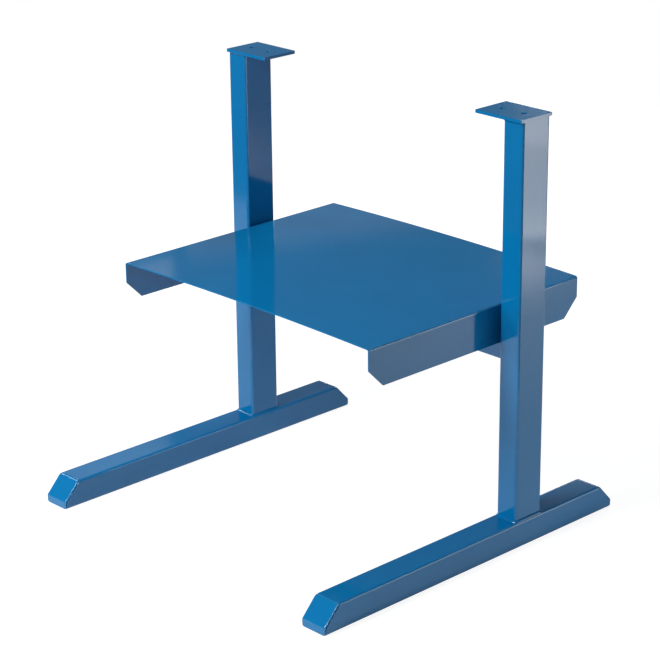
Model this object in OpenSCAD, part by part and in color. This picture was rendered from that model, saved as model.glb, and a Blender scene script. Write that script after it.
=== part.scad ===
// Floor stand for a paper cutter: two welded T legs, a folded shelf between them and a cross tube.
// X runs from the left leg to the right leg, Y from the front to the rear, Z up from the floor.

/* [Stand] */
// Height from the floor to the top of the plates that carry the cutter
total_h = 700; // [600:5:900]
// Distance between the middles of the two legs
leg_spacing = 622; // [500:1:800]

/* [Feet] */
// Length of a foot from front to rear
foot_l = 650; // [560:5:800]
// Width of the foot tube
foot_w = 50; // [50:1:70]
// Height of the foot tube
foot_h = 44; // [36:1:60]
// Wall of the foot tube
foot_wall = 2; // [1.5:0.5:3]
// Outer corner radius of the foot tube
foot_r = 4; // [3:0.5:5]
// Run of the bevel at each end of a foot, along the foot
bevel_run = 29; // [20:1:50]
// Height of the upright lip below the bevel
lip_h = 13; // [8:1:20]
// Thickness of the folded plate that closes a foot end
cap_t = 3; // [2:0.5:4]
// Step from the side of the foot tube in to the side of the end plate
cap_inset = 0.5; // [0.5:0.25:1.5]

/* [Posts] */
// Width of the post tube, across the stand
post_w = 40; // [34:1:42]
// Depth of the post tube, along the foot
post_d = 60; // [56:1:62]
// Wall of the post tube
post_wall = 2; // [1.5:0.5:3]
// Outer corner radius of the post tube
post_r = 4; // [3:0.5:5]
// Distance that a post stands behind the middle of its foot
post_setback = 125; // [60:1:200]

/* [Top plates] */
// Reach of a top plate beyond the inner side of its post
plate_reach = 54; // [40:1:90]
// Depth of a top plate, along the foot
plate_d = 70; // [70:1:100]
// Thickness of a top plate
plate_t = 5; // [4:0.5:8]
// Rounding of the corners of a top plate
plate_r = 1.5; // [0.5:0.5:4]
// Diameter of the cutter's bolt holes in a top plate
plate_hole_d = 9; // [6:0.5:11]
// Distance between the two holes of a top plate
plate_hole_gap = 42; // [30:1:50]

/* [Shelf] */
// Height of the shelf deck at its sides
deck_z = 398; // [300:1:500]
// Depth of the shelf from front to rear
shelf_d = 467; // [380:1:540]
// Distance of the middle of the shelf behind the middle of the feet
shelf_setback = 52.5; // [20:0.5:80]
// Thickness of the shelf sheet
sheet_t = 2; // [1:0.5:3]
// Outer radius of the bend between the deck and a flange
bend_r = 4; // [3.5:0.5:6]
// Rise of the deck from its sides to its middle
deck_crown = 4; // [0:0.5:8]
// Height of the side flanges from the deck down
flange_h = 65; // [58:1:80]
// Length along Y of the cut corners of a flange
chamfer_l = 30; // [10:1:50]
// Height of the cut corners of a flange
chamfer_h = 30; // [10:1:45]

/* [Cross tube] */
// Side of the square cross tube under the shelf
cross_s = 30; // [20:1:36]
// Wall of the cross tube
cross_wall = 2; // [1.5:0.5:3]
// Outer corner radius of the cross tube
cross_r = 3; // [3:0.5:4]
// Thickness of the flat bar of a bracket plate, which stands between a flange and a post
bracket_t = 8; // [6:0.5:12]
// Distance from the deck down to the top edge of a bracket plate
bracket_drop = 13; // [8:1:16]

/* [Fastening] */
// Thread diameter of the shelf bolts
bolt_d = 8; // [6:1:8]
// Length of a shelf bolt under its head
bolt_l = 30; // [28:1:40]
// Width across flats of a bolt head
head_flats = 13; // [12:0.5:14]
// Height of a bolt head
head_h = 5.3; // [4:0.1:6]
// Outer diameter of a washer
washer_d = 16; // [15.5:0.5:18]
// Thickness of a washer
washer_t = 1.6; // [1:0.1:2.5]
// Distance between the two bolts of one side, one above the other
bolt_gap = 24; // [20:1:28]
// Outer diameter of a rivet nut's sleeve in the post wall
nut_d = 11; // [10.5:0.1:11.5]
// Diameter of a rivet nut's head and of its folded bulge
nut_head_d = 13; // [12.5:0.1:13.5]
// Thickness of a rivet nut's head
nut_head_t = 1; // [0.8:0.1:1.5]
// Length of a rivet nut behind the post wall
nut_l = 15; // [12:0.5:18]
// Length of the folded bulge of a rivet nut
bulge_l = 4; // [3:0.5:6]

/* [Welds and clearances] */
// Leg of the fillet welds
weld_leg = 3; // [2:0.5:3.5]
// Height of a flat seam bead over the flush faces that it joins
seam_h = 1; // [0.6:0.1:1.5]
// Clearance between a weld and the rounded tube that it runs along
weld_gap = 0.05; // [0.02:0.01:0.1]
// Radial clearance of a bolt in its clearance holes
bolt_clear = 0.5; // [0.3:0.1:0.8]
// Radial clearance of the rivet nuts, round the sleeve and inside the bore
nut_clear = 0.05; // [0.03:0.01:0.1]

/* [Hidden] */
$fn = 64;
eps = 1;
// Smallest inner corner radius of a tube
inner_r_min = 0.5;
// Where a bead's face bulges and where it meets the two legs, as shares of the leg
bead_belly = 0.62;
bead_toe = 0.1;
// Straight steps of the deck's curve on each side of the middle, and angle of one step of a bend
crown_steps = 12;
bend_step = 15;

leg_x = leg_spacing / 2;
post_in_x = leg_x - post_w / 2;
post_top = total_h - plate_t;
post_front = post_setback - post_d / 2;

shelf_half = post_in_x - bracket_t;
shelf_front = shelf_setback - shelf_d / 2;
shelf_rear = shelf_setback + shelf_d / 2;
flange_z = deck_z - flange_h;
cross_z = flange_z - cross_s;
bracket_top = deck_z - bracket_drop;
bolt_z = (bracket_top + flange_z) / 2;
bolt_hole_d = bolt_d + 2 * bolt_clear;
nut_seat_d = nut_head_d + 2 * bolt_clear;

plate_in_x = post_in_x - plate_reach;
plate_w = post_w + plate_reach;
plate_mid_x = plate_in_x + plate_w / 2;

// Shift along the foot that moves the bevel plane inwards by the thickness of the end plate
bevel_rise = foot_h - lip_h;
cap_shift = cap_t * norm([bevel_run, bevel_rise]) / bevel_rise;
// Height at which the inner faces of the folded end plate meet
cap_fold_z = lip_h - (cap_shift - cap_t) * bevel_rise / bevel_run;

blue = [0.08, 0.36, 0.60];
dark_blue = [0.07, 0.30, 0.52];
zinc = [0.72, 0.74, 0.76];

// Shared shapes

module rounded_rect(w, d, r) {
    square([w - 2 * r, d], center = true);
    square([w, d - 2 * r], center = true);
    for (x = [-1, 1], y = [-1, 1])
        translate([x * (w / 2 - r), y * (d / 2 - r)])
            circle(r);
}

module tube_section(w, d, r, wall) {
    difference() {
        rounded_rect(w, d, r);
        rounded_rect(w - 2 * wall, d - 2 * wall, max(r - wall, inner_r_min));
    }
}

// A drawing in the Y and Z plane, extruded along X about the middle
module across(width) {
    rotate([90, 0, 90])
        linear_extrude(width, center = true)
            children();
}

// A drawing in the X and Z plane, extruded along Y about the middle
module along(length) {
    rotate([90, 0, 0])
        linear_extrude(length, center = true)
            children();
}

// A child drawn for the right leg, mirrored to the left leg
module on_left() {
    mirror([1, 0, 0])
        children();
}

module on_both() {
    children();
    on_left()
        children();
}

// Convex fillet profile: X leads away from the tube, Y up it, and drop reaches below the seat
module bead_profile(drop) {
    polygon([
        [0, -drop], [weld_leg, -drop], [weld_leg, bead_toe * weld_leg],
        [bead_belly * weld_leg, bead_belly * weld_leg], [bead_toe * weld_leg, weld_leg], [0, weld_leg],
    ]);
}

// Low bead over a seam between two flush faces: X leads across the seam, Y away from the faces
module seam_profile() {
    polygon([
        [-weld_leg, 0], [weld_leg, 0], [bead_belly * weld_leg, bead_belly * seam_h],
        [0, seam_h], [-bead_belly * weld_leg, bead_belly * seam_h],
    ]);
}

// Fillet bead all round a rounded tube of w by d with corner radius r, standing on z = 0
module bead_ring(w, d, r, drop) {
    for (turn = [0, 1], end = [-1, 1]) {
        run = turn == 0 ? d - 2 * r : w - 2 * r;
        reach = turn == 0 ? w / 2 : d / 2;
        rotate(90 * turn)
            mirror([end < 0 ? 1 : 0, 0, 0])
                translate([reach + weld_gap, 0, 0])
                    rotate([90, 0, 0])
                        linear_extrude(run, center = true)
                            bead_profile(drop);
    }
    for (quarter = [0 : 3]) {
        odd = quarter % 2;
        side_x = (odd ? d : w) / 2 - r;
        side_y = (odd ? w : d) / 2 - r;
        rotate(90 * quarter)
            translate([side_x, side_y, 0])
                rotate_extrude(angle = 90)
                    translate([r + weld_gap, 0])
                        bead_profile(drop);
    }
}

// Positions of the bolts on the right side, axis along +X
module at_bolts() {
    for (side = [-1, 1])
        translate([0, post_setback, bolt_z + side * bolt_gap / 2])
            rotate([0, 90, 0])
                children();
}

// Feet

module foot_solid(width) {
    translate([leg_x, 0, foot_h / 2])
        along(foot_l)
            rounded_rect(width, foot_h, foot_r);
}

module foot_tube() {
    half = foot_l / 2;
    color(blue)
        intersection() {
            translate([leg_x, 0, foot_h / 2])
                along(foot_l)
                    tube_section(foot_w, foot_h, foot_r, foot_wall);
            translate([leg_x, 0, 0])
                across(foot_w + 2 * eps)
                    polygon([
                        [-half + cap_t, -eps],
                        [-half + cap_t, cap_fold_z],
                        [-half + bevel_run + cap_shift, foot_h],
                        [-half + bevel_run + cap_shift, foot_h + eps],
                        [half - bevel_run - cap_shift, foot_h + eps],
                        [half - bevel_run - cap_shift, foot_h],
                        [half - cap_t, cap_fold_z],
                        [half - cap_t, -eps],
                    ]);
        }
}

// Folded end plate of the right foot: end is -1 at the front and 1 at the rear
module foot_end_plate(end) {
    half = foot_l / 2;
    color(dark_blue)
        intersection() {
            foot_solid(foot_w - 2 * cap_inset);
            translate([leg_x, 0, 0])
                mirror([0, end > 0 ? 1 : 0, 0])
                    across(foot_w)
                        polygon([
                            [-half, 0],
                            [-half, lip_h],
                            [-half + bevel_run, foot_h],
                            [-half + bevel_run + cap_shift, foot_h],
                            [-half + cap_t, cap_fold_z],
                            [-half + cap_t, 0],
                        ]);
        }
}

// Posts and top plates

module post() {
    color(blue)
        difference() {
            translate([leg_x, post_setback, foot_h])
                linear_extrude(post_top - foot_h)
                    tube_section(post_w, post_d, post_r, post_wall);
            translate([post_in_x - eps, 0, 0])
                at_bolts()
                    cylinder(d = nut_d + 2 * nut_clear, h = post_wall + 2 * eps);
        }
}

module post_base_weld() {
    color(dark_blue)
        difference() {
            translate([leg_x, post_setback, foot_h])
                bead_ring(post_w, post_d, post_r, foot_r);
            foot_solid(foot_w);
        }
}

module plate_weld() {
    color(dark_blue)
        intersection() {
            translate([leg_x, post_setback, post_top])
                mirror([0, 0, 1])
                    bead_ring(post_w, post_d, post_r, 0);
            translate([plate_in_x, post_front - 2 * weld_leg, post_top - 2 * weld_leg])
                cube([plate_w - post_r, post_d + 4 * weld_leg, 2 * weld_leg]);
        }
}

module top_plate() {
    color(blue)
        difference() {
            translate([plate_mid_x, post_setback, post_top])
                linear_extrude(plate_t)
                    rounded_rect(plate_w, plate_d, plate_r);
            for (side = [-1, 1])
                translate([plate_mid_x + side * plate_hole_gap / 2, post_setback, post_top - eps])
                    cylinder(d = plate_hole_d, h = plate_t + 2 * eps);
        }
}

// Shelf

// Height of the deck's upper face over its side edges
function crown(x) = deck_crown * (1 - pow(x / (shelf_half - bend_r), 2));

// Points of the sheet's face from the left flange over the deck to the right flange
function sheet_face(depth) = let (r = bend_r - depth, mid_x = shelf_half - bend_r, mid_z = deck_z - bend_r)
    concat(
        [[-shelf_half + depth, flange_z]],
        [for (a = [180 : -bend_step : 90 + bend_step]) [-mid_x + r * cos(a), mid_z + r * sin(a)]],
        [for (i = [-crown_steps : crown_steps], x = mid_x * i / crown_steps) [x, deck_z - depth + crown(x)]],
        [for (a = [90 - bend_step : -bend_step : 0]) [mid_x + r * cos(a), mid_z + r * sin(a)]],
        [[shelf_half - depth, flange_z]]
    );

function reversed(list) = [for (i = [len(list) - 1 : -1 : 0]) list[i]];

module shelf_tray() {
    top = deck_z + deck_crown + eps;
    color(blue)
        difference() {
            intersection() {
                translate([0, shelf_setback, 0])
                    along(shelf_d)
                        polygon(concat(sheet_face(0), reversed(sheet_face(sheet_t))));
                across(2 * shelf_half + 2 * eps)
                    polygon([
                        [shelf_front, top],
                        [shelf_front, flange_z + chamfer_h],
                        [shelf_front + chamfer_l, flange_z],
                        [shelf_rear - chamfer_l, flange_z],
                        [shelf_rear, flange_z + chamfer_h],
                        [shelf_rear, top],
                    ]);
            }
            on_both()
                translate([shelf_half - sheet_t - eps, 0, 0])
                    at_bolts()
                        cylinder(d = bolt_hole_d, h = sheet_t + 2 * eps);
        }
}

// Cross tube and its bracket plates

module cross_tube() {
    color(dark_blue)
        translate([0, post_setback, cross_z + cross_s / 2])
            across(2 * shelf_half)
                tube_section(cross_s, cross_s, cross_r, cross_wall);
}

module bracket_plate() {
    color(dark_blue)
        difference() {
            translate([shelf_half, post_setback - cross_s / 2, cross_z])
                cube([bracket_t, cross_s, bracket_top - cross_z]);
            translate([shelf_half - eps, 0, 0])
                at_bolts()
                    cylinder(d = nut_seat_d, h = bracket_t + 2 * eps);
        }
}

// Seam beads over the front, the underside and the rear of the tube's ends
module cross_tube_welds() {
    run = cross_s - 2 * cross_r;
    color(dark_blue)
        on_both()
            for (turn = [0, 90, 180])
                translate([shelf_half, post_setback, cross_z + cross_s / 2])
                    rotate([turn, 0, 0])
                        translate([0, -cross_s / 2, 0])
                            mirror([0, 1, 0])
                                linear_extrude(run, center = true)
                                    seam_profile();
}

// Fasteners between the shelf and the posts

module shelf_bolts() {
    color(zinc)
        on_both()
            translate([shelf_half - sheet_t - washer_t, 0, 0])
                at_bolts() {
                    cylinder(d = bolt_d, h = bolt_l);
                    translate([0, 0, -head_h])
                        cylinder(d = head_flats / cos(30), h = head_h, $fn = 6);
                }
}

module shelf_washers() {
    color(zinc)
        on_both()
            translate([shelf_half - sheet_t - washer_t, 0, 0])
                at_bolts()
                    difference() {
                        cylinder(d = washer_d, h = washer_t);
                        translate([0, 0, -eps])
                            cylinder(d = bolt_hole_d - bolt_clear, h = washer_t + 2 * eps);
                    }
}

module rivet_nuts() {
    color(zinc)
        on_both()
            translate([post_in_x, 0, 0])
                at_bolts()
                    difference() {
                        union() {
                            translate([0, 0, -nut_head_t])
                                cylinder(d = nut_head_d, h = nut_head_t);
                            cylinder(d = nut_d, h = post_wall + nut_l);
                            translate([0, 0, post_wall])
                                cylinder(d = nut_head_d, h = bulge_l);
                        }
                        translate([0, 0, -nut_head_t - eps])
                            cylinder(d = bolt_d + 2 * nut_clear, h = post_wall + nut_l + nut_head_t + 2 * eps);
                    }
}

on_left() foot_tube();  // left_foot_tube
foot_tube();  // right_foot_tube
on_left() foot_end_plate(-1);  // left_front_end_plate
on_left() foot_end_plate(1);  // left_rear_end_plate
foot_end_plate(-1);  // right_front_end_plate
foot_end_plate(1);  // right_rear_end_plate
on_left() post();  // left_post
post();  // right_post
on_left() top_plate();  // left_top_plate
top_plate();  // right_top_plate
on_left() post_base_weld();  // left_post_base_weld
post_base_weld();  // right_post_base_weld
on_left() plate_weld();  // left_plate_weld
plate_weld();  // right_plate_weld
shelf_tray();
cross_tube();
on_left() bracket_plate();  // left_bracket_plate
bracket_plate();  // right_bracket_plate
cross_tube_welds();
shelf_bolts();
shelf_washers();
rivet_nuts();
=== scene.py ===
import math

import bmesh
import bpy
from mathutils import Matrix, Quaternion, Vector


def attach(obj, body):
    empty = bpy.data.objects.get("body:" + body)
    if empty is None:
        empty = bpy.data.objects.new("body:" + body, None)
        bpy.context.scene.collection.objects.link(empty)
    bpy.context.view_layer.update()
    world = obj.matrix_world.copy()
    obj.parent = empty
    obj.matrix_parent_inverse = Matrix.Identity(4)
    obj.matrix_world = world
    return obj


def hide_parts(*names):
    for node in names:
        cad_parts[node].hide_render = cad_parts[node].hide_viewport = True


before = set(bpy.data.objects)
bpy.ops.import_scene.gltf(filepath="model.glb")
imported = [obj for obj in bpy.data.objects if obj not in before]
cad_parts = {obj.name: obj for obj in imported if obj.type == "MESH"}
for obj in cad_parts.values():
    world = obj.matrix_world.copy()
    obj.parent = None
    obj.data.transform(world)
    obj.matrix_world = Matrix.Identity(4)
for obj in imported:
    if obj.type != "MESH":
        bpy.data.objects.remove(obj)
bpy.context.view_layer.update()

MM = 0.001

# The camera, solved from the photograph's edges in its 660 x 660 frame
PHOTO_SIDE = 660
CAMERA_FOCUS_PX = 2273.2
CAMERA_AZIMUTH = 46.58
CAMERA_ELEVATION = 20.32
CAMERA_ROLL = 0.567
CAMERA_DISTANCE = 3.6492
CAMERA_AIM = Vector((0.0149, -0.0047, 0.3122))
CAMERA_SENSOR = 36.0
CAMERA_REACH = 50.0

# The paper under the stand: its outline, its tones, and patches that only mirror (centre, reach, strength)
PAPER_CORNERS = [(-2.0, -0.85), (1.0, -0.85), (1.0, 0.25), (2.2, 0.7), (2.2, 2.4), (-2.0, 2.4)]
PAPER_DROP = 0.0002
PAPER_TONE = 0.80
PAPER_TONE_SEEN = 0.25
# Painted light: the paper's own glow where seen is weaker near the stand and full further off, and stands in
# for light on the far paper
PAPER_SEEN_NEAR = 0.90
PAPER_SEEN_FAR = 1.0
PAPER_SEEN_REACH = (0.6, 1.4)
PAPER_MIRRORED = 0.345
PAPER_GLARES = [((1.2, 0.62, 0.0), (0.25, 0.8), 0.40), ((1.35, 1.15, 0.0), (0.0, 0.45), 3.5)]
GLARE_FALLOFF = 2.0

# The room and the softboxes (name, place, aim, width, height, watts)
WHITE = (1.0, 1.0, 1.0, 1.0)
ROOM_LIGHT = 0.003
ROOM_MIRRORED = 0.110
MIDDLE = (0.0, 0.0, 0.35)
SOFTBOXES = [
    ("key_high", (-0.16, -1.92, 2.08), MIDDLE, 0.55, 0.7, 45.5),
    ("key_low", (-0.32, -1.95, 0.7), MIDDLE, 0.55, 0.7, 12.0),
    ("left_front", (-2.12, -0.90, 1.63), (-0.31, 0.09, 0.04), 0.3, 0.3, 8.0),
    ("edge_front_right", (1.5, -1.1, 1.05), (0.1, -0.32, 0.03), 0.16, 0.16, 1.6),
    ("overhead_rear", (-0.45, 0.9, 2.9), MIDDLE, 0.9, 0.9, 18.6),
    ("bright_rear_right", (1.52, 0.98, 0.42), (0.8, 0.29, 0.42), 0.8, 0.34, 4.3),
    ("bright_low_right", (1.52, 0.98, 0.144), (0.8, 0.29, 0.144), 0.8, 0.212, 2.0),
    ("bright_rear", (-1.55, 2.91, 1.15), (0.0, 0.0, 1.15), 1.0, 0.4, 16.5),
    ("dim_rear_left", (-2.37, 2.29, 1.15), (0.0, 0.0, 1.15), 1.0, 0.4, 0.18),
    ("dim_left", (-2.97, 1.45, 1.55), (0.0, 0.0, 1.55), 1.0, 0.4, 0.55),
]

# Finishes, as linear colours
COAT_BLUE = (0.001, 0.188, 0.450, 1.0)
COAT_BLUE_THICK = (0.001, 0.160, 0.405, 1.0)
# Lighter blue on rounded edges: partly the coat lying thin there, partly a painted highlight along the edges
COAT_BLUE_THIN_AND_SHEEN = (0.08, 0.30, 0.56, 1.0)
COAT_DUST = (0.30, 0.40, 0.50, 1.0)
ZINC = (0.60, 0.61, 0.63, 1.0)
ZINC_YELLOWED = (0.52, 0.50, 0.44, 1.0)

# Fineness of the patterns in the finishes, in pattern cells per metre
PEBBLE_FINENESS = 420.0
SPECK_FINENESS = 1500.0
DRIFT_FINENESS = 9.0
WAVE_FINENESS = 5.5
EDGE_PATCH_FINENESS = 60.0
DUST_GRAIN_FINENESS = 900.0
DUST_CLUMP_FINENESS = 14.0
ZINC_GRAIN_FINENESS = (900.0, 120.0, 120.0)
ZINC_STAIN_FINENESS = 70.0

# Between which values of its noise each pattern rises from nothing to full
NOISE_MIDDLE = 0.5
DRIFT_RISE = (0.30, 0.70)
PEBBLE_RISE = (0.35, 0.65)
EDGE_PATCH_RISE = (0.35, 0.65)
DUST_GRAIN_RISE = (0.50, 0.75)
DUST_CLUMP_RISE = (0.35, 0.70)
ZINC_GRAIN_RISE = (0.3, 0.7)
ZINC_STAIN_RISE = (0.40, 0.70)

# Strength of each effect in the finishes
COAT_THICKEST = 0.55
COAT_PEBBLE_TONE = 0.20
COAT_GLOSS_DRIFT = 0.05
COAT_IOR = 1.5
COAT_SPECULAR = 0.5
EDGE_LEAST = 0.35
DUST_LEAST = 0.2
ZINC_STAIN_MOST = 0.7
ZINC_ROUGHNESS = (0.24, 0.42)
ZINC_GRAIN_DEPTH = 0.00002

# Where an edge begins and where it is full, as the cosine between its normal and a flat side's normal;
# the end plates' slope is the only flat side that isn't square to the axes
EDGE_BEGINS = 0.99
EDGE_FULL = 0.90
END_SLOPE_FACING = (0.0, 0.730, 0.683)

# The least upward part of the normal of a face on which dust lies
DUST_SLOPE = 0.5

# Rounding and shading of the CAD nodes
MERGE_DISTANCE = 0.000002
FLAT_ANGLE = 0.05
SHARP_ANGLE = 35.0
SHADING_WEIGHT = 80


# Small helpers for node trees

def socket_in(tree, name, kind, value):
    socket = tree.interface.new_socket(name=name, in_out="INPUT", socket_type=kind)
    socket.default_value = value


def socket_out(tree, name, kind):
    tree.interface.new_socket(name=name, in_out="OUTPUT", socket_type=kind)


def add_node(tree, kind, **settings):
    node = tree.nodes.new(kind)
    for name, value in settings.items():
        setattr(node, name, value)
    return node


def feed(tree, slot, value):
    """Puts a number or colour into a node's slot, or joins another node's output to it."""
    if isinstance(value, (int, float, tuple)):
        slot.default_value = value
    else:
        tree.links.new(value, slot)


def math_node(tree, operation, first, second):
    node = add_node(tree, "ShaderNodeMath", operation=operation)
    feed(tree, node.inputs[0], first)
    feed(tree, node.inputs[1], second)
    return node.outputs[0]


def mix_colour(tree, factor, first, second):
    node = add_node(tree, "ShaderNodeMix", data_type="RGBA")
    feed(tree, node.inputs[0], factor)
    feed(tree, node.inputs[6], first)
    feed(tree, node.inputs[7], second)
    return node.outputs[2]


def map_range(tree, value, from_low, from_high, to_low, to_high):
    node = add_node(tree, "ShaderNodeMapRange")
    tree.links.new(value, node.inputs["Value"])
    for slot, number in zip(node.inputs[1:5], (from_low, from_high, to_low, to_high)):
        slot.default_value = number
    return node.outputs["Result"]


def object_place(tree):
    return add_node(tree, "ShaderNodeTexCoord").outputs["Object"]


def facing(tree):
    return add_node(tree, "ShaderNodeNewGeometry").outputs["Normal"]


def noise(tree, place, fineness, detail=2.0):
    node = add_node(tree, "ShaderNodeTexNoise")
    tree.links.new(place, node.inputs["Vector"])
    node.inputs["Scale"].default_value = fineness
    node.inputs["Detail"].default_value = detail
    return node.outputs["Fac"]


def bump(tree, height, depth, under=None):
    """Normal of a rough surface of the given depth, laid over another normal where one is given."""
    node = add_node(tree, "ShaderNodeBump")
    tree.links.new(height, node.inputs["Height"])
    feed(tree, node.inputs["Distance"], depth)
    if under is not None:
        tree.links.new(under, node.inputs["Normal"])
    return node.outputs["Normal"]


# Effects that more than one finish uses

def make_coat_skin_group():
    """Powder coat: the fine pebbled skin, slow waves of the sheet under it, drift of colour and gloss."""
    tree = bpy.data.node_groups.new("powder_coat_skin", "ShaderNodeTree")
    socket_in(tree, "Colour", "NodeSocketColor", COAT_BLUE)
    socket_in(tree, "Thick Colour", "NodeSocketColor", COAT_BLUE_THICK)
    socket_in(tree, "Gloss", "NodeSocketFloat", 0.30)
    socket_in(tree, "Gloss Drift", "NodeSocketFloat", COAT_GLOSS_DRIFT)
    socket_in(tree, "Pebble Depth", "NodeSocketFloat", 0.00003)
    socket_in(tree, "Wave Depth", "NodeSocketFloat", 0.0002)
    socket_out(tree, "Colour", "NodeSocketColor")
    socket_out(tree, "Roughness", "NodeSocketFloat")
    socket_out(tree, "Normal", "NodeSocketVector")
    given = add_node(tree, "NodeGroupInput")
    result = add_node(tree, "NodeGroupOutput")
    place = object_place(tree)

    pebbles = noise(tree, place, PEBBLE_FINENESS)
    specks = noise(tree, place, SPECK_FINENESS, detail=1.0)
    drift = noise(tree, place, DRIFT_FINENESS, detail=3.0)
    waves = noise(tree, place, WAVE_FINENESS, detail=1.0)

    thickness = map_range(tree, drift, *DRIFT_RISE, 0.0, COAT_THICKEST)
    pebble_tone = map_range(tree, pebbles, *PEBBLE_RISE, 0.0, COAT_PEBBLE_TONE)
    shade = math_node(tree, "ADD", thickness, pebble_tone)
    colour = mix_colour(tree, shade, given.outputs["Colour"], given.outputs["Thick Colour"])

    roughness = given.outputs["Gloss"]
    for pattern in (drift, specks):
        spread = math_node(tree, "SUBTRACT", pattern, NOISE_MIDDLE)
        change = math_node(tree, "MULTIPLY", spread, given.outputs["Gloss Drift"])
        roughness = math_node(tree, "ADD", roughness, change)

    waved = bump(tree, waves, given.outputs["Wave Depth"])
    pebbled = bump(tree, pebbles, given.outputs["Pebble Depth"], under=waved)
    tree.links.new(colour, result.inputs["Colour"])
    tree.links.new(roughness, result.inputs["Roughness"])
    tree.links.new(pebbled, result.inputs["Normal"])
    return tree


def make_edge_group():
    """Mask of rounded edges, where powder coat draws back and lies thin and where a highlight is painted:
    what faces as no flat side does.
    """
    tree = bpy.data.node_groups.new("thin_coat_and_painted_sheen_at_edges", "ShaderNodeTree")
    socket_in(tree, "Strength", "NodeSocketFloat", 0.5)
    socket_out(tree, "Mask", "NodeSocketFloat")
    given = add_node(tree, "NodeGroupInput")
    result = add_node(tree, "NodeGroupOutput")
    turned = add_node(tree, "ShaderNodeVectorMath", operation="ABSOLUTE")
    tree.links.new(facing(tree), turned.inputs[0])
    axes = add_node(tree, "ShaderNodeSeparateXYZ")
    tree.links.new(turned.outputs["Vector"], axes.inputs[0])
    slope = add_node(tree, "ShaderNodeVectorMath", operation="DOT_PRODUCT")
    tree.links.new(turned.outputs["Vector"], slope.inputs[0])
    slope.inputs[1].default_value = END_SLOPE_FACING
    flat = slope.outputs["Value"]
    for axis in "XYZ":
        flat = math_node(tree, "MAXIMUM", flat, axes.outputs[axis])
    edge = map_range(tree, flat, EDGE_FULL, EDGE_BEGINS, 1.0, 0.0)
    patchy = noise(tree, object_place(tree), EDGE_PATCH_FINENESS)
    uneven = map_range(tree, patchy, *EDGE_PATCH_RISE, EDGE_LEAST, 1.0)
    mask = math_node(tree, "MULTIPLY", edge, uneven)
    mask = math_node(tree, "MULTIPLY", mask, given.outputs["Strength"])
    tree.links.new(mask, result.inputs["Mask"])
    return tree


def make_dust_group():
    """Mask of fine dust, on faces that look up only."""
    tree = bpy.data.node_groups.new("settled_dust", "ShaderNodeTree")
    socket_in(tree, "Amount", "NodeSocketFloat", 0.05)
    socket_out(tree, "Mask", "NodeSocketFloat")
    given = add_node(tree, "NodeGroupInput")
    result = add_node(tree, "NodeGroupOutput")
    axes = add_node(tree, "ShaderNodeSeparateXYZ")
    tree.links.new(facing(tree), axes.inputs[0])
    upward = map_range(tree, axes.outputs["Z"], DUST_SLOPE, 1.0, 0.0, 1.0)
    place = object_place(tree)
    grains = noise(tree, place, DUST_GRAIN_FINENESS, detail=3.0)
    clumps = noise(tree, place, DUST_CLUMP_FINENESS)
    fine = map_range(tree, grains, *DUST_GRAIN_RISE, 0.0, 1.0)
    broad = map_range(tree, clumps, *DUST_CLUMP_RISE, DUST_LEAST, 1.0)
    mask = math_node(tree, "MULTIPLY", math_node(tree, "MULTIPLY", fine, broad), upward)
    mask = math_node(tree, "MULTIPLY", mask, given.outputs["Amount"])
    tree.links.new(mask, result.inputs["Mask"])
    return tree


COAT_SKIN = make_coat_skin_group()
THIN_COAT_AND_SHEEN_EDGES = make_edge_group()
DUST = make_dust_group()


def use_group(tree, group, **values):
    node = add_node(tree, "ShaderNodeGroup")
    node.node_tree = group
    for name, value in values.items():
        node.inputs[name.replace("_", " ")].default_value = value
    return node


# Finishes

def new_material(name):
    material = bpy.data.materials.new(name)
    material.use_nodes = True
    tree = material.node_tree
    return material, tree, tree.nodes["Principled BSDF"]


def powder_coat(name, gloss, pebble, wave, edge, colour=COAT_BLUE, dust=0.04):
    """Semi-gloss blue powder coat over steel."""
    material, tree, shader = new_material(name)
    skin = use_group(tree, COAT_SKIN, Gloss=gloss, Gloss_Drift=COAT_GLOSS_DRIFT, Pebble_Depth=pebble,
                     Wave_Depth=wave, Colour=colour, Thick_Colour=COAT_BLUE_THICK)
    edges = use_group(tree, THIN_COAT_AND_SHEEN_EDGES, Strength=edge)
    dusting = use_group(tree, DUST, Amount=dust)
    # Rounded edges turn lighter: partly thin coat, partly a painted highlight
    edge_thin_and_sheen = mix_colour(tree, edges.outputs["Mask"], skin.outputs["Colour"], COAT_BLUE_THIN_AND_SHEEN)
    dusty = mix_colour(tree, dusting.outputs["Mask"], edge_thin_and_sheen, COAT_DUST)
    tree.links.new(dusty, shader.inputs["Base Color"])
    tree.links.new(skin.outputs["Roughness"], shader.inputs["Roughness"])
    tree.links.new(skin.outputs["Normal"], shader.inputs["Normal"])
    shader.inputs["IOR"].default_value = COAT_IOR
    shader.inputs["Specular IOR Level"].default_value = COAT_SPECULAR
    return material


def zinc_plate(name):
    """Bright zinc plating with a fine turned grain and a little yellow chromate."""
    material, tree, shader = new_material(name)
    place = object_place(tree)
    stretch = add_node(tree, "ShaderNodeMapping")
    stretch.inputs["Scale"].default_value = ZINC_GRAIN_FINENESS
    tree.links.new(place, stretch.inputs["Vector"])
    grain = noise(tree, stretch.outputs["Vector"], 1.0, detail=4.0)
    stain = noise(tree, place, ZINC_STAIN_FINENESS)
    tint = map_range(tree, stain, *ZINC_STAIN_RISE, 0.0, ZINC_STAIN_MOST)
    roughness = map_range(tree, grain, *ZINC_GRAIN_RISE, *ZINC_ROUGHNESS)
    tree.links.new(mix_colour(tree, tint, ZINC, ZINC_YELLOWED), shader.inputs["Base Color"])
    tree.links.new(roughness, shader.inputs["Roughness"])
    tree.links.new(bump(tree, grain, ZINC_GRAIN_DEPTH), shader.inputs["Normal"])
    shader.inputs["Metallic"].default_value = 1.0
    return material


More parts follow.
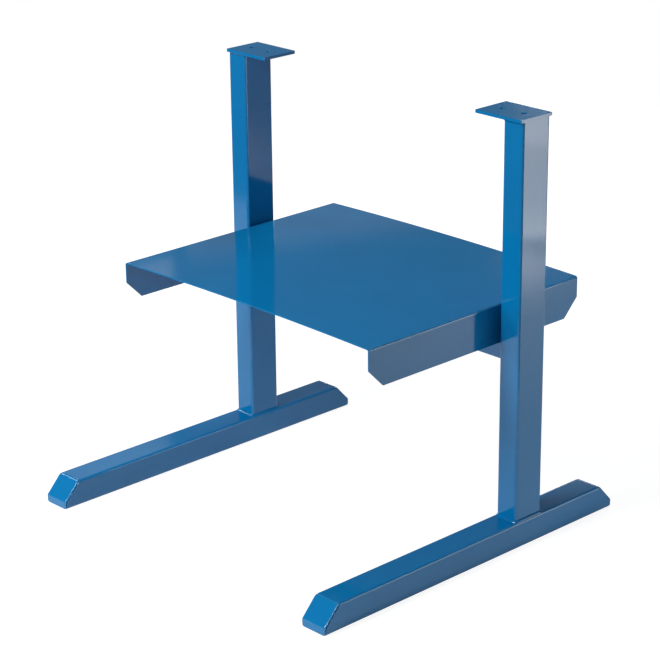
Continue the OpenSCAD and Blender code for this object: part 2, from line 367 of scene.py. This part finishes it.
TUBE_COAT = powder_coat("blue_coat_on_tube", gloss=0.085, pebble=0.000016, wave=0.0002, edge=0.15)
SHEET_COAT = powder_coat("blue_coat_on_sheet", gloss=0.085, pebble=0.000013, wave=0.0004, edge=0.6)
PLATE_COAT = powder_coat("blue_coat_on_plate", gloss=0.10, pebble=0.000016, wave=0.0001, edge=0.8)
WELD_COAT = powder_coat("blue_coat_on_weld", gloss=0.14, pebble=0.000010, wave=0.0, edge=0.0,
                        colour=COAT_BLUE_THICK, dust=0.02)
FASTENER_ZINC = zinc_plate("zinc_on_fasteners")


# Dressing of the CAD nodes: names, finish, radius of the rounded edges and steps in it

DRESSING = [
    (["left_foot_tube", "right_foot_tube", "left_post", "right_post", "cross_tube"], TUBE_COAT, 0.3 * MM, 2),
    (["left_front_end_plate", "left_rear_end_plate"], PLATE_COAT, 1.4 * MM, 4),
    (["right_front_end_plate", "right_rear_end_plate"], PLATE_COAT, 1.4 * MM, 4),
    (["left_top_plate", "right_top_plate"], PLATE_COAT, 0.6 * MM, 3),
    (["left_bracket_plate", "right_bracket_plate"], PLATE_COAT, 0.6 * MM, 3),
    (["shelf_tray"], SHEET_COAT, 0.8 * MM, 3),
    (["shelf_washers", "rivet_nuts"], FASTENER_ZINC, 0.25 * MM, 2),
]


def dress(name, material, edge_radius, steps):
    """Gives a node its finish and rounds its outside edges as a coated edge is."""
    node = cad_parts[name]
    node.data.materials.clear()
    node.data.materials.append(material)
    node.data.polygons.foreach_set("use_smooth", [True] * len(node.data.polygons))
    merge = node.modifiers.new("merge_corners", "WELD")
    merge.merge_threshold = MERGE_DISTANCE
    flats = node.modifiers.new("clean_flats", "DECIMATE")
    flats.decimate_type = "DISSOLVE"
    flats.angle_limit = math.radians(FLAT_ANGLE)
    rounding = node.modifiers.new("round_edges", "BEVEL")
    rounding.width = edge_radius
    rounding.segments = steps
    rounding.limit_method = "ANGLE"
    rounding.angle_limit = math.radians(SHARP_ANGLE)
    rounding.miter_outer = "MITER_ARC"
    shading = node.modifiers.new("even_shading", "WEIGHTED_NORMAL")
    shading.weight = SHADING_WEIGHT
    shading.keep_sharp = True


for names, finish, edge_radius, steps in DRESSING:
    for name in names:
        dress(name, finish, edge_radius, steps)


# Pieces made here

def new_piece(name, shape, material, replaced):
    vertices, faces = shape
    mesh = bpy.data.meshes.new(name)
    mesh.from_pydata([tuple(v) for v in vertices], [], faces)
    mesh.validate()
    build = bmesh.new()
    build.from_mesh(mesh)
    bmesh.ops.recalc_face_normals(build, faces=build.faces)
    build.to_mesh(mesh)
    build.free()
    mesh.polygons.foreach_set("use_smooth", [True] * len(mesh.polygons))
    piece = bpy.data.objects.new(name, mesh)
    bpy.context.scene.collection.objects.link(piece)
    mesh.materials.append(material)
    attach(piece, "root")
    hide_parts(replaced)
    return piece


def swept(rings, closed):
    """Vertices and faces of a run of equal rings, closed on itself or capped at both ends."""
    size = len(rings[0])
    count = len(rings)
    vertices = [point for ring in rings for point in ring]
    faces = []
    for ring in range(count if closed else count - 1):
        here = ring * size
        there = (ring + 1) % count * size
        for index in range(size):
            beside = (index + 1) % size
            faces.append((here + index, here + beside, there + beside, there + index))
    if not closed:
        faces.append(tuple(range(size)))
        faces.append(tuple((count - 1) * size + index for index in range(size)))
    return vertices, faces


def joined(shapes):
    """One list of vertices and one of faces from several shapes."""
    vertices, faces = [], []
    for more, more_faces in shapes:
        base = len(vertices)
        vertices += more
        faces += [tuple(base + index for index in face) for face in more_faces]
    return vertices, faces


# Weld beads, as the rippled runs that a welder lays

POST_X = 311 * MM
POST_Y = 125 * MM
POST_HALF = (20 * MM, 30 * MM)
POST_ROUND = 4 * MM
FOOT_TOP = 44 * MM
FOOT_FLAT_HALF = 21 * MM
PLATE_UNDERSIDE = 695 * MM
WELD_LEG = 3 * MM
WELD_FULLNESS = 1.15
RIPPLE_PITCH = 1.8 * MM
RIPPLE_DEPTH = 0.06
RIPPLE_CURVE = 0.35
RIPPLE_CREST = 0.6
RIPPLE_MEAN = 0.6
RIPPLE_AT_TOE = 0.35
SWAY_LONG = (9 * MM, 0.5)
SWAY_SHORT = (3.7 * MM, 0.3)
FILLET_SWAY = 0.05
ALONG_STEP = 0.4 * MM
FACE_STEPS = 9
FEWEST_STEPS = 4
ROOT_DEPTH = 0.1 * MM
BASE_BEAD_START = 1.3
PLATE_BEAD_START = 2.1

# The cross tube's seams: face, start and direction of each run, for both ends of the tube
SEAM_HEIGHT = 1 * MM
SEAM_X = 283 * MM
SEAM_SWAY = 0.04
SEAM_RIPPLE = 2.6
SEAM_INSET = 3 * MM
SEAM_LENGTH = 24 * MM
SEAM_TAPER = 2 * MM
SEAM_END = 0.05
CROSS_HALF = 15 * MM
CROSS_BOTTOM = 303 * MM
SEAM_RUNS = [
    (Vector((0, -1, 0)), Vector((0, POST_Y - CROSS_HALF, CROSS_BOTTOM + SEAM_INSET)), Vector((0, 0, 1))),
    (Vector((0, 0, -1)), Vector((0, POST_Y - CROSS_HALF + SEAM_INSET, CROSS_BOTTOM)), Vector((0, 1, 0))),
    (Vector((0, 1, 0)), Vector((0, POST_Y + CROSS_HALF, CROSS_BOTTOM + SEAM_INSET)), Vector((0, 0, 1))),
]


def rounded_outline(half_x, half_y, radius, step):
    """Points round a rounded rectangle: place, outward direction and distance along."""
    points = []
    travelled = 0.0
    # Each corner's side in x and y, and the angle at which its arc starts
    corners = [(1, -1, -90), (1, 1, 0), (-1, 1, 90), (-1, -1, 180)]
    for number, (side_x, side_y, start) in enumerate(corners):
        centre = Vector((side_x * (half_x - radius), side_y * (half_y - radius)))
        arc = math.radians(90) * radius
        count = max(FEWEST_STEPS, round(arc / step))
        for index in range(count):
            angle = math.radians(start + 90 * index / count)
            outward = Vector((math.cos(angle), math.sin(angle)))
            points.append((centre + outward * radius, outward, travelled + arc * index / count))
        travelled += arc
        length = 2 * ((half_y if number % 2 == 0 else half_x) - radius)
        outward = Vector((math.cos(math.radians(start + 90)), math.sin(math.radians(start + 90))))
        along = Vector((-outward.y, outward.x))
        begin = centre + outward * radius
        count = max(FEWEST_STEPS, round(length / step))
        for index in range(count):
            share = length * index / count
            points.append((begin + along * share, outward, travelled + share))
        travelled += length
    return points


def bead_wave(along, across):
    """Height of the weld's ripples, 0 to 1, at a place along the run and across its face."""
    crescent = RIPPLE_CURVE * (1 - (2 * across - 1) ** 2)
    return abs(math.sin(math.pi * (along / RIPPLE_PITCH + crescent))) ** RIPPLE_CREST


def hand_sway(along, start):
    """Slow change of the bead's size, as a hand moves."""
    slow = math.sin(along / SWAY_LONG[0] + start) * SWAY_LONG[1]
    return slow + math.sin(along / SWAY_SHORT[0] + 2 * start) * SWAY_SHORT[1]


def fillet_section(along, start):
    """Cross-section of a fillet weld as (out from the wall, away from the plate) pairs."""
    leg = WELD_LEG * (1 + FILLET_SWAY * hand_sway(along, start))
    section = [(-ROOT_DEPTH, leg)]
    for index in range(FACE_STEPS + 1):
        across = index / FACE_STEPS
        angle = across * math.pi / 2
        middle = RIPPLE_AT_TOE + (1 - RIPPLE_AT_TOE) * math.sin(2 * angle)
        swell = 1 + RIPPLE_DEPTH * (bead_wave(along, across) - RIPPLE_MEAN) * middle
        out = leg * math.sin(angle) ** (2 / WELD_FULLNESS) * swell
        away = leg * max(0.0, math.cos(angle)) ** (2 / WELD_FULLNESS) * swell
        section.append((out, away))
    section.append((leg, -ROOT_DEPTH))
    section.append((-ROOT_DEPTH, -ROOT_DEPTH))
    return section


def seam_section(along, start):
    """Cross-section of a low seam bead as (across the seam, out of the face) pairs."""
    half = WELD_LEG * (1 + SEAM_SWAY * hand_sway(along, start))
    section = []
    for index in range(FACE_STEPS + 1):
        across = index / FACE_STEPS
        swell = 1 + SEAM_RIPPLE * RIPPLE_DEPTH * (bead_wave(along, across) - RIPPLE_MEAN)
        height = SEAM_HEIGHT * (1 - (2 * across - 1) ** 2) * swell
        section.append((half * (2 * across - 1), height))
    section.append((half, -ROOT_DEPTH))
    section.append((-half, -ROOT_DEPTH))
    return section


def foot_height(from_middle):
    """Height of the foot's top at a distance from its middle line, with its rounded edges."""
    beyond = abs(from_middle) - FOOT_FLAT_HALF
    if beyond <= 0:
        return FOOT_TOP
    return FOOT_TOP - POST_ROUND + math.sqrt(max(0.0, POST_ROUND ** 2 - beyond ** 2))


def post_base_weld(side):
    """The bead round the foot of a post, which follows the rounded edges of the foot tube."""
    rings = []
    for place, outward, along in rounded_outline(*POST_HALF, POST_ROUND, ALONG_STEP):
        ring = []
        for out, away in fillet_section(along, BASE_BEAD_START + side):
            spot = place + outward * out
            height = foot_height(spot.x) + away
            ring.append(Vector((side * POST_X + side * spot.x, POST_Y + spot.y, height)))
        rings.append(ring)
    return swept(rings, closed=True)


def top_plate_weld(side):
    """The bead under a top plate, over the post's front, inner side and rear; the outer side stays bare."""
    outline = rounded_outline(*POST_HALF, POST_ROUND, ALONG_STEP)
    covered = [stop for stop in outline if stop[0].x <= POST_HALF[0] - POST_ROUND]
    first = min(range(len(covered)), key=lambda index: covered[index][2])
    rings = []
    for place, outward, along in covered[first:] + covered[:first]:
        ring = []
        for out, away in fillet_section(along, PLATE_BEAD_START + side):
            spot = place + outward * out
            ring.append(Vector((side * (POST_X + spot.x), POST_Y + spot.y, PLATE_UNDERSIDE - away)))
        rings.append(ring)
    return swept(rings, closed=False)


def seam_bead(side, number):
    """One seam between the cross tube and its bracket plate, thinning out at both ends."""
    outward, start, direction = SEAM_RUNS[number]
    rings = []
    steps = round(SEAM_LENGTH / ALONG_STEP)
    for index in range(steps + 1):
        along = SEAM_LENGTH * index / steps
        ending = min(along, SEAM_LENGTH - along) / SEAM_TAPER
        taper = math.sqrt(min(1.0, ending + SEAM_END))
        ring = []
        for across, height in seam_section(along, number + side):
            place = start + direction * along + outward * (height * taper if height > 0 else height)
            ring.append(place + Vector((side * SEAM_X + across * taper, 0, 0)))
        rings.append(ring)
    return swept(rings, closed=False)


for side, side_name in ((-1, "left"), (1, "right")):
    new_piece(f"{side_name}_post_base_bead", post_base_weld(side), WELD_COAT,
              f"{side_name}_post_base_weld")
    new_piece(f"{side_name}_plate_bead", top_plate_weld(side), WELD_COAT,
              f"{side_name}_plate_weld")
seams = joined(seam_bead(side, number) for side in (-1, 1) for number in range(len(SEAM_RUNS)))
new_piece("cross_tube_beads", seams, WELD_COAT, "cross_tube_welds")


# Shelf bolts with chamfered hexagon heads and cut threads

BOLT_SEAT_X = 279.4 * MM
BOLT_HEIGHTS = (347 * MM, 371 * MM)
BOLT_RADIUS = 4 * MM
BOLT_LENGTH = 30 * MM
BOLT_POINT_LENGTH = 1.0 * MM
BOLT_POINT_SLOPE = 0.8
BOLT_CREASE = 30.0
THREAD_PITCH = 1.25 * MM
THREAD_DEPTH = 0.61 * MM
THREAD_START = 2 * MM
THREAD_STEPS = 12
THREAD_FLAT = 0.125
THREAD_FLANK = 0.375
PLAIN_SHARE = 0.9
HEAD_HEIGHT = 5.3 * MM
HEAD_FLAT_HALF = 6.5 * MM
HEAD_CHAMFER_FROM = HEAD_FLAT_HALF * 0.95
HEAD_CHAMFER_ANGLE = 30.0
HEAD_UNDER_STEEPNESS = 2
HEAD_RINGS = (0.0, 0.15, 0.6, 2.6, 4.2, 4.6, 4.9, 5.15, 5.3)
ROUND_STEPS = 72


def round_point(side, x, y, z, radius, angle):
    """Point at a radius and an angle round a bolt's axis."""
    return Vector((side * x, y + radius * math.cos(angle), z + radius * math.sin(angle)))


def hexagon_radius(angle):
    """Distance from the middle of the hexagon to its side, at an angle."""
    within = (angle + math.pi / 6) % (math.pi / 3) - math.pi / 6
    return HEAD_FLAT_HALF / math.cos(within)


def bolt_head(side, y, z):
    """Hexagon head, its outer corners cut by a 30 degree cone, on a thin washer face."""
    slant = math.tan(math.radians(HEAD_CHAMFER_ANGLE))
    rings = []
    for height in HEAD_RINGS:
        height = height * MM
        cone = HEAD_CHAMFER_FROM + (HEAD_HEIGHT - height) / slant
        under = HEAD_CHAMFER_FROM + height / slant * HEAD_UNDER_STEEPNESS
        ring = []
        for index in range(ROUND_STEPS):
            angle = math.tau * index / ROUND_STEPS
            radius = min(hexagon_radius(angle), cone, under)
            ring.append(round_point(side, BOLT_SEAT_X - height, y, z, radius, angle))
        rings.append(ring)
    return swept(rings, closed=False)


def thread_profile(turn):
    """Share of the thread's depth at a place within one pitch: crest flat, flank, root, flank."""
    turn = turn % 1.0
    if turn < THREAD_FLAT:
        return 0.0
    if turn < THREAD_FLAT + THREAD_FLANK:
        return (turn - THREAD_FLAT) / THREAD_FLANK
    if turn < 1.0 - THREAD_FLANK:
        return 1.0
    return (1.0 - turn) / THREAD_FLANK


def bolt_shank(side, y, z):
    """Shank with a cut thread that grows over its first turn, and a pointed end."""
    count = round((BOLT_LENGTH - THREAD_START) / THREAD_PITCH * THREAD_STEPS)
    stations = [0.0, THREAD_START * PLAIN_SHARE]
    stations += [THREAD_START + THREAD_PITCH * index / THREAD_STEPS for index in range(count + 1)]
    rings = []
    for along in stations:
        turns = (along - THREAD_START) / THREAD_PITCH
        grown = max(0.0, min(1.0, turns))
        point = max(0.0, along - (BOLT_LENGTH - BOLT_POINT_LENGTH)) * BOLT_POINT_SLOPE
        ring = []
        for index in range(ROUND_STEPS):
            share = index / ROUND_STEPS
            depth = THREAD_DEPTH * grown * thread_profile(turns - share)
            radius = min(BOLT_RADIUS - depth, BOLT_RADIUS - point)
            ring.append(round_point(side, BOLT_SEAT_X + along, y, z, radius, math.tau * share))
        rings.append(ring)
    return swept(rings, closed=False)


bolt_shapes = [
    shape(side, POST_Y, height)
    for side in (-1, 1)
    for height in BOLT_HEIGHTS
    for shape in (bolt_head, bolt_shank)
]
bolts = new_piece("threaded_shelf_bolts", joined(bolt_shapes), FASTENER_ZINC, "shelf_bolts")
crease = bolts.modifiers.new("even_shading", "EDGE_SPLIT")
crease.split_angle = math.radians(BOLT_CREASE)


# Camera, floor and lights

def place_camera():
    azimuth, elevation = math.radians(CAMERA_AZIMUTH), math.radians(CAMERA_ELEVATION)
    back = Vector((
        math.sin(azimuth) * math.cos(elevation),
        -math.cos(azimuth) * math.cos(elevation),
        math.sin(elevation),
    ))
    data = bpy.data.cameras.new("camera")
    data.sensor_width = CAMERA_SENSOR
    data.lens = CAMERA_FOCUS_PX / PHOTO_SIDE * data.sensor_width
    data.clip_end = CAMERA_REACH
    camera = bpy.data.objects.new("camera", data)
    bpy.context.scene.collection.objects.link(camera)
    camera.location = CAMERA_AIM + back * CAMERA_DISTANCE
    camera.rotation_mode = "QUATERNION"
    level = (-back).to_track_quat("-Z", "Y")
    camera.rotation_quaternion = level @ Quaternion((0.0, 0.0, 1.0), -math.radians(CAMERA_ROLL))
    bpy.context.scene.camera = camera


def seen_directly(tree, path):
    """1 where the camera sees a surface itself or through glass, 0 where the surface lights or mirrors."""
    return math_node(tree, "MAXIMUM", path.outputs["Is Camera Ray"], path.outputs["Is Transmission Ray"])


def paper_shine(tree, place):
    """Brightness of the paper where it mirrors in the stand, with its brighter patches."""
    shine = PAPER_MIRRORED
    for centre, reach, strength in PAPER_GLARES:
        from_glare = add_node(tree, "ShaderNodeVectorMath", operation="DISTANCE")
        tree.links.new(place, from_glare.inputs[0])
        from_glare.inputs[1].default_value = centre
        glare = map_range(tree, from_glare.outputs["Value"], *reach, 1.0, 0.0)
        glare = math_node(tree, "MULTIPLY", math_node(tree, "POWER", glare, GLARE_FALLOFF), strength)
        shine = math_node(tree, "ADD", glare, shine)
    return shine


def paper_white():
    """White where it is seen, from a painted glow that is weaker near the stand so its soft shadow shows,
    and a set tone where it mirrors in the stand.
    """
    material = bpy.data.materials.new("studio_paper_white")
    material.use_nodes = True
    tree = material.node_tree
    tree.nodes.remove(tree.nodes["Principled BSDF"])
    output = tree.nodes["Material Output"]
    matt = add_node(tree, "ShaderNodeBsdfDiffuse")
    glow = add_node(tree, "ShaderNodeEmission")
    glow.inputs["Color"].default_value = WHITE
    path = add_node(tree, "ShaderNodeLightPath")
    place = object_place(tree)
    spread = add_node(tree, "ShaderNodeVectorMath", operation="LENGTH")
    tree.links.new(place, spread.inputs[0])
    # Painted light: the glow where seen grows from near the stand to further off
    seen_glow_by_distance = map_range(tree, spread.outputs["Value"], *PAPER_SEEN_REACH, PAPER_SEEN_NEAR, PAPER_SEEN_FAR)
    seen = math_node(tree, "MULTIPLY", seen_directly(tree, path), seen_glow_by_distance)
    mirrored = math_node(tree, "MULTIPLY", path.outputs["Is Glossy Ray"], paper_shine(tree, place))
    tree.links.new(math_node(tree, "ADD", seen, mirrored), glow.inputs["Strength"])
    paler = math_node(tree, "MULTIPLY", path.outputs["Is Camera Ray"], PAPER_TONE_SEEN - PAPER_TONE)
    tree.links.new(math_node(tree, "ADD", paler, PAPER_TONE), matt.inputs["Color"])
    both = add_node(tree, "ShaderNodeAddShader")
    tree.links.new(matt.outputs[0], both.inputs[0])
    tree.links.new(glow.outputs[0], both.inputs[1])
    tree.links.new(both.outputs[0], output.inputs["Surface"])
    return material


def lay_floor():
    """The paper under the stand, which ends a little way in front of it."""
    mesh = bpy.data.meshes.new("studio_paper")
    corners = [(x, y, 0.0) for x, y in PAPER_CORNERS]
    mesh.from_pydata(corners, [], [tuple(range(len(corners)))])
    floor = bpy.data.objects.new("studio_paper", mesh)
    bpy.context.scene.collection.objects.link(floor)
    floor.location.z = -PAPER_DROP
    mesh.materials.append(paper_white())


def light_room():
    """The room behind: white where it is seen, dim where it lights the stand or mirrors in it."""
    world = bpy.data.worlds.new("studio_room")
    bpy.context.scene.world = world
    world.use_nodes = True
    tree = world.node_tree
    back = tree.nodes["Background"]
    path = add_node(tree, "ShaderNodeLightPath")
    seen = math_node(tree, "MULTIPLY", seen_directly(tree, path), 1.0 - ROOM_LIGHT)
    mirrored = math_node(tree, "MULTIPLY", path.outputs["Is Glossy Ray"], ROOM_MIRRORED - ROOM_LIGHT)
    strength = math_node(tree, "ADD", math_node(tree, "ADD", seen, mirrored), ROOM_LIGHT)
    tree.links.new(strength, back.inputs["Strength"])
    back.inputs["Color"].default_value = WHITE


def softbox(name, place, aim, width, height, power):
    data = bpy.data.lights.new(name, "AREA")
    data.shape = "RECTANGLE"
    data.size = width
    data.size_y = height
    data.energy = power
    lamp = bpy.data.objects.new(name, data)
    bpy.context.scene.collection.objects.link(lamp)
    lamp.location = place
    lamp.rotation_mode = "QUATERNION"
    lamp.rotation_quaternion = (Vector(aim) - Vector(place)).to_track_quat("-Z", "Y")
    lamp.visible_camera = False


place_camera()
lay_floor()
light_room()
for settings in SOFTBOXES:
    softbox(*settings)
bpy.context.scene.view_settings.view_transform = "Standard"
